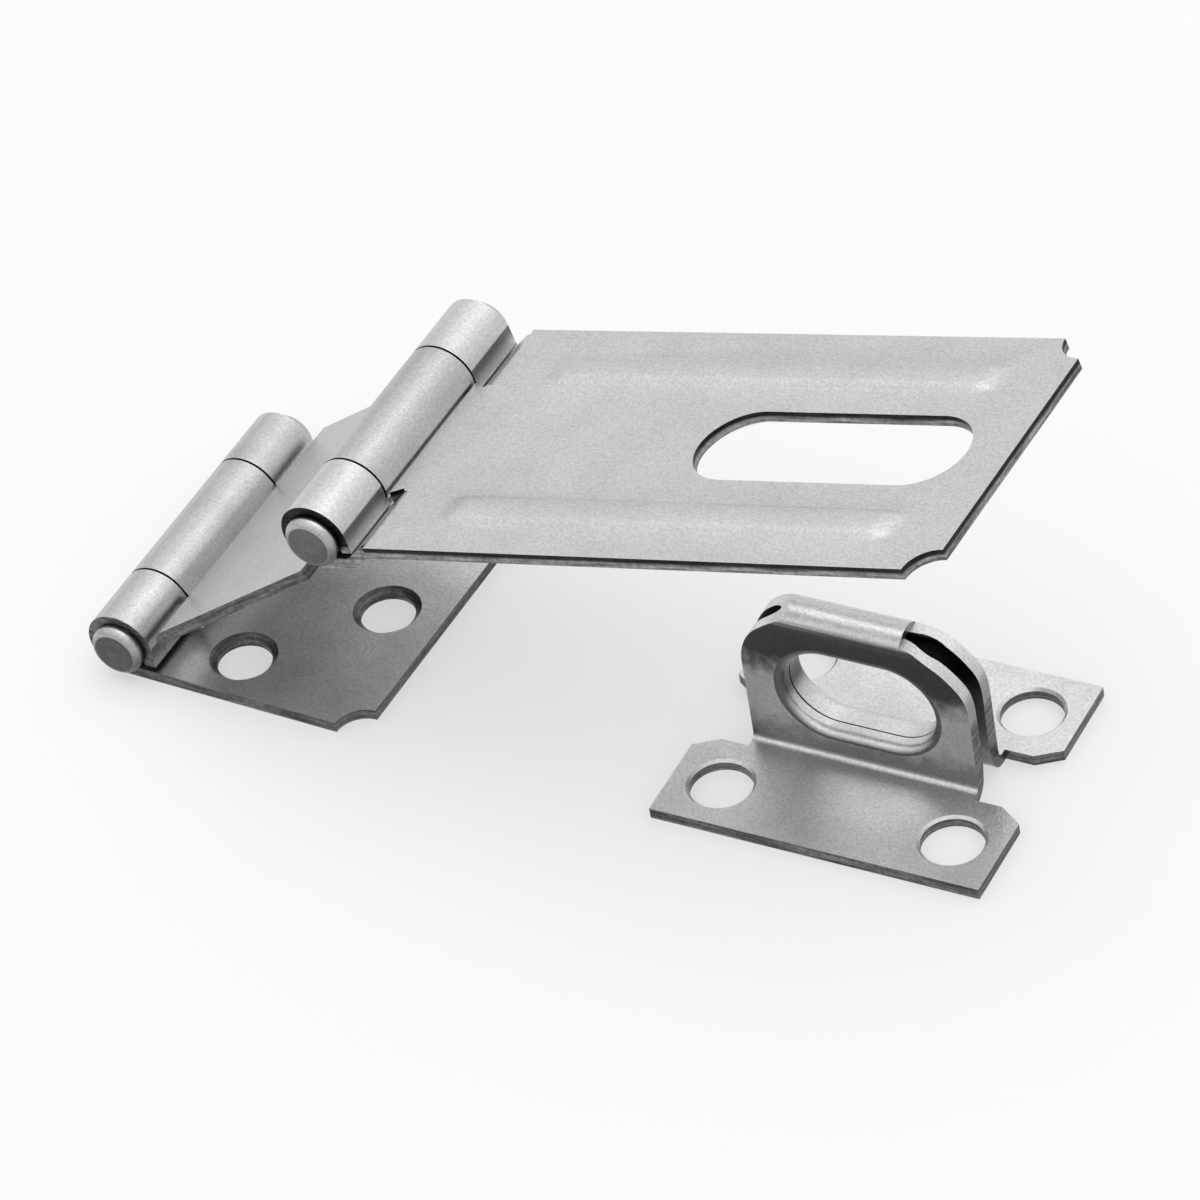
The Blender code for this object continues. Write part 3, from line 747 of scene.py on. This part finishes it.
def flared(steps):
    """A slot punch that grows step by step. Each step is a depth through the walls and its growth there."""
    shape = bmesh.new()
    rings = []
    for depth, grow in steps:
        rings.append([shape.verts.new((depth, along, height)) for along, height in round_slot(grow)])
    shape.faces.new(rings[0])
    shape.faces.new(rings[-1])
    for low, high in zip(rings, rings[1:]):
        for i in range(len(low)):
            k = (i + 1) % len(low)
            shape.faces.new((low[i], low[k], high[k], high[i]))
    bmesh.ops.recalc_face_normals(shape, faces=shape.faces)
    return placed("slot_punch", shape)


def rounding(face, radius, inwards):
    """Steps of a flare that rounds a rim of this radius away from the wall's face."""
    turns = [math.radians(90.0 * i / RIM_STEPS) for i in range(RIM_STEPS + 1)]
    return [(face + inwards * radius * (1 - math.cos(t)), radius * (1 - math.sin(t))) for t in turns]


def through(points, steps=5):
    """A smooth line through the points."""
    ends = [points[0]] + points + [points[-1]]
    line = []
    for before, here, ahead, after in zip(ends, ends[1:], ends[2:], ends[3:]):
        for t in [i / steps for i in range(steps)]:
            line.append(tuple(0.5 * (2 * q + (r - p) * t + (2 * p - 5 * q + 4 * r - w) * t * t
                                     + (3 * q - p - 3 * r + w) * t ** 3)
                              for p, q, r, w in zip(before, here, ahead, after)))
    return line + [points[-1]]


def share(value, start, end):
    """How far the value has come from start to end, from 0 to 1."""
    return min(1.0, max(0.0, (value - start) / (end - start)))


foot = bend((WALL_FACE + FOOT_BEND, SHEET + FOOT_BEND), FOOT_BEND, 270.0, 180.0, 9)
side_half = [(FOOT_REACH, SHEET), (FOOT_FLAT, SHEET)] + foot + [(WALL_FACE, WALL_FOOT)]
crown = bend((0.0, STAPLE_HEIGHT - WALL_FACE), WALL_FACE, 0.0, 180.0, 7.5)
strip = side_half + crown + [(-x, z) for x, z in reversed(side_half)]
staple = sheet("staple_strip", strip, [-FOOT_HALF, FOOT_HALF])
thinner = staple.vertex_groups.new(name="gauge")
for vertex in staple.data.vertices:
    stock = SHEET + (WALL - SHEET) * share(vertex.co.z, THICKENS_FROM, WALL_FOOT)
    thinned = CROWN_THINNING * share(vertex.co.z, THINS_FROM, STAPLE_HEIGHT) if vertex.co.y < 0 else 0.0
    thinner.add([vertex.index], stock / WALL * (1.0 - thinned), "REPLACE")
# The staple's walls carry a painted shade, deepest in a painted band under the crown and another above the
# feet; the shoulder and slot faces carry their own painted shade where they stand upright.
staple_finish = zinc("zinc_staple", 0.7, 0.36, upright_shade=(0.56, 0.1, 0.6), clouds=0.09,
                     shade_bands=((0.0125, 0.018, 0.12), (0.0075, 0.0035, 0.55)))
shoulder_finish = zinc("zinc_shoulder", 0.78, 0.3, upright_shade=(0.35, 0.1, 0.7), clouds=0.14)
slot_finish = zinc("zinc_staple_slot", 0.74, 0.32, upright_shade=(0.16, 0.15, 0.75), clouds=0.1)
staple_edge = sheared_shaded_edge("sheared_shaded_staple", 0.14)
thicken(staple, staple_finish, staple_edge)
gauge = staple.modifiers["gauge"]
gauge.thickness = WALL
gauge.vertex_group = "gauge"
crown_faces = [face for face in staple.data.polygons if face.center.z > STAPLE_HEIGHT - 1.0]
faces_up = sum(face.normal.z * face.area for face in crown_faces) > 0
gauge.offset = -1.0 if faces_up else 1.0
quarter_turn = Matrix.Rotation(math.pi / 2, 4, "Z")
for side, line in ((1, LEFT_SHOULDER), (-1, RIGHT_SHOULDER)):
    wall_end, shoulder_foot = line[-1]
    span = sorted((side * wall_end, side * BEYOND))
    trim(staple, block((-WALLS_CLEAR, WALLS_CLEAR), span, (FOOT_DEPTHS[0], shoulder_foot)))
    outline = [(line[0][0], BEYOND)] + through(list(line)) + [(BEYOND, shoulder_foot), (BEYOND, BEYOND)]
    cutter = prism([(side * u, z) for u, z in outline], -WALLS_CLEAR, WALLS_CLEAR, True)
    cutter.data.transform(quarter_turn)
    cutter.data.materials.append(shoulder_finish)
    trim(staple, cutter)
collar = prism(round_slot(LOOP_COLLAR), *COLLAR_SPAN, True)
collar.data.transform(quarter_turn)
collar.data.materials.append(staple_finish)
trim(staple, collar, "UNION")
front_rim = rounding(-WALL_FACE, FRONT_RIM, 1)
rear_rim = rounding(WALL_FACE, REAR_RIM, -1)
punch = flared([(-WALLS_CLEAR, FRONT_RIM)] + front_rim + rear_rim[::-1] + [(WALLS_CLEAR, REAR_RIM)])
punch.data.materials.append(slot_finish)
trim(staple, punch)
for sx in (-1, 1):
    for sy in (-1, 1):
        deep = CLIP_ACROSS[0] - CLIP_OVERRUN / CLIP_SLOPE
        wide = CLIP_ALONG[1] + CLIP_OVERRUN * CLIP_SLOPE
        corner = [(CLIP_ALONG[0], deep), (wide, CLIP_ACROSS[1]), (CLIP_ALONG[0], CLIP_ACROSS[1])]
        trim(staple, prism([(sx * x, sy * y) for x, y in corner], *FOOT_DEPTHS))
screw_holes(staple, STAPLE_HOLES, STAPLE_HOLE, STAPLE_HOLE_RIM, STAPLE_HOLE_SINK, SHEET, staple_finish)
low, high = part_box("staple")
middle = (low + high) / 2
stand = Matrix.Translation((middle.x, middle.y, 0.0)) @ Matrix.Rotation(STAPLE_TURN, 4, "Z")
finish(staple, stand, STAPLE_EDGE)
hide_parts("staple")
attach(staple, "base")

# The hasp lies on a plain pale floor, under soft studio light from all round that is brighter above, with one
# wide panel overhead. The camera looks down at it from the front, from the staple's side.
floor_mesh = bpy.data.meshes.new("floor")
floor_level = -0.0003
corners = [(x, y, floor_level) for x, y in ((-3, -3), (3, -3), (3, 3), (-3, 3))]
floor_mesh.from_pydata(corners, [], [(0, 1, 2, 3)])
floor = bpy.data.objects.new("floor", floor_mesh)
bpy.context.scene.collection.objects.link(floor)
paper = bpy.data.materials.new("pale_paper")
paper.use_nodes = True
sheet_shader = paper.node_tree.nodes["Principled BSDF"]
sheet_shader.inputs["Base Color"].default_value = (0.88, 0.88, 0.88, 1)
sheet_shader.inputs["Roughness"].default_value = 0.9
sheet_shader.inputs["Specular IOR Level"].default_value = 0.0
seen = paper.node_tree.nodes.new("ShaderNodeLightPath")
by_eye = work(paper.node_tree, "MAXIMUM", seen.outputs["Is Camera Ray"], seen.outputs["Is Glossy Ray"])
by_eye = work(paper.node_tree, "MAXIMUM", by_eye, seen.outputs["Is Transmission Ray"])
white = paper.node_tree.nodes.new("ShaderNodeEmission")
white.inputs["Color"].default_value = (0.97, 0.97, 0.97, 1)
blend = paper.node_tree.nodes.new("ShaderNodeMixShader")
paper.node_tree.links.new(work(paper.node_tree, "MULTIPLY", by_eye, 0.5), blend.inputs[0])
paper.node_tree.links.new(sheet_shader.outputs[0], blend.inputs[1])
paper.node_tree.links.new(white.outputs[0], blend.inputs[2])
paper.node_tree.links.new(blend.outputs[0], paper.node_tree.nodes["Material Output"].inputs["Surface"])
floor_mesh.materials.append(paper)

world = bpy.data.worlds.new("studio")
bpy.context.scene.world = world
world.use_nodes = True
sky = world.node_tree
around = sky.nodes.new("ShaderNodeTexCoord")
upwards = sky.nodes.new("ShaderNodeSeparateXYZ")
sky.links.new(around.outputs["Generated"], upwards.inputs[0])
glow = sky.nodes.new("ShaderNodeValToRGB")
glow.color_ramp.elements[0].color = (0.62, 0.62, 0.62, 1)
for height, light in ((0.34, 0.78), (0.64, 0.95), (0.80, 1.1)):
    glow.color_ramp.elements.new(height).color = (light, light, light, 1)
glow.color_ramp.elements[-1].color = (1.1, 1.1, 1.1, 1)
sky.links.new(upwards.outputs["Z"], glow.inputs["Fac"])
sky.links.new(glow.outputs["Color"], sky.nodes["Background"].inputs["Color"])
sky.nodes["Background"].inputs["Strength"].default_value = 1.0

lamp = bpy.data.lights.new("overhead_panel", "AREA")
lamp.size = 0.8
lamp.energy = 1.5
panel = bpy.data.objects.new("overhead_panel", lamp)
bpy.context.scene.collection.objects.link(panel)
panel.location = (0.1, 0.1, 0.9)
lit_middle = Vector((0.04, 0.0, 0.0))
panel.rotation_euler = (panel.location - lit_middle).to_track_quat("Z", "Y").to_euler()

view_azimuth = math.radians(35.46)
view_elevation = math.radians(41.45)
view_roll = math.radians(-10.26)
camera_data = bpy.data.cameras.new("camera")
camera = bpy.data.objects.new("camera", camera_data)
bpy.context.scene.collection.objects.link(camera)
camera_data.sensor_width = 36.0
camera_data.lens = 223.71
camera_data.shift_x = -0.00175
camera_data.shift_y = -0.0076
back = Matrix.Rotation(view_azimuth, 3, "Z") @ Matrix.Rotation(math.pi / 2 - view_elevation, 3, "X")
turn = back @ Matrix.Rotation(view_roll, 3, "Z")
target = Vector((0.029, -0.002225, 0.008))
spot = target + turn @ Vector((0.01675, 0.003016, 0.9978))
camera.matrix_world = Matrix.Translation(spot) @ turn.to_4x4()
camera_data.clip_start = 0.05
camera_data.clip_end = 20.0
bpy.context.scene.camera = camera
bpy.context.scene.view_settings.view_transform = "Standard"
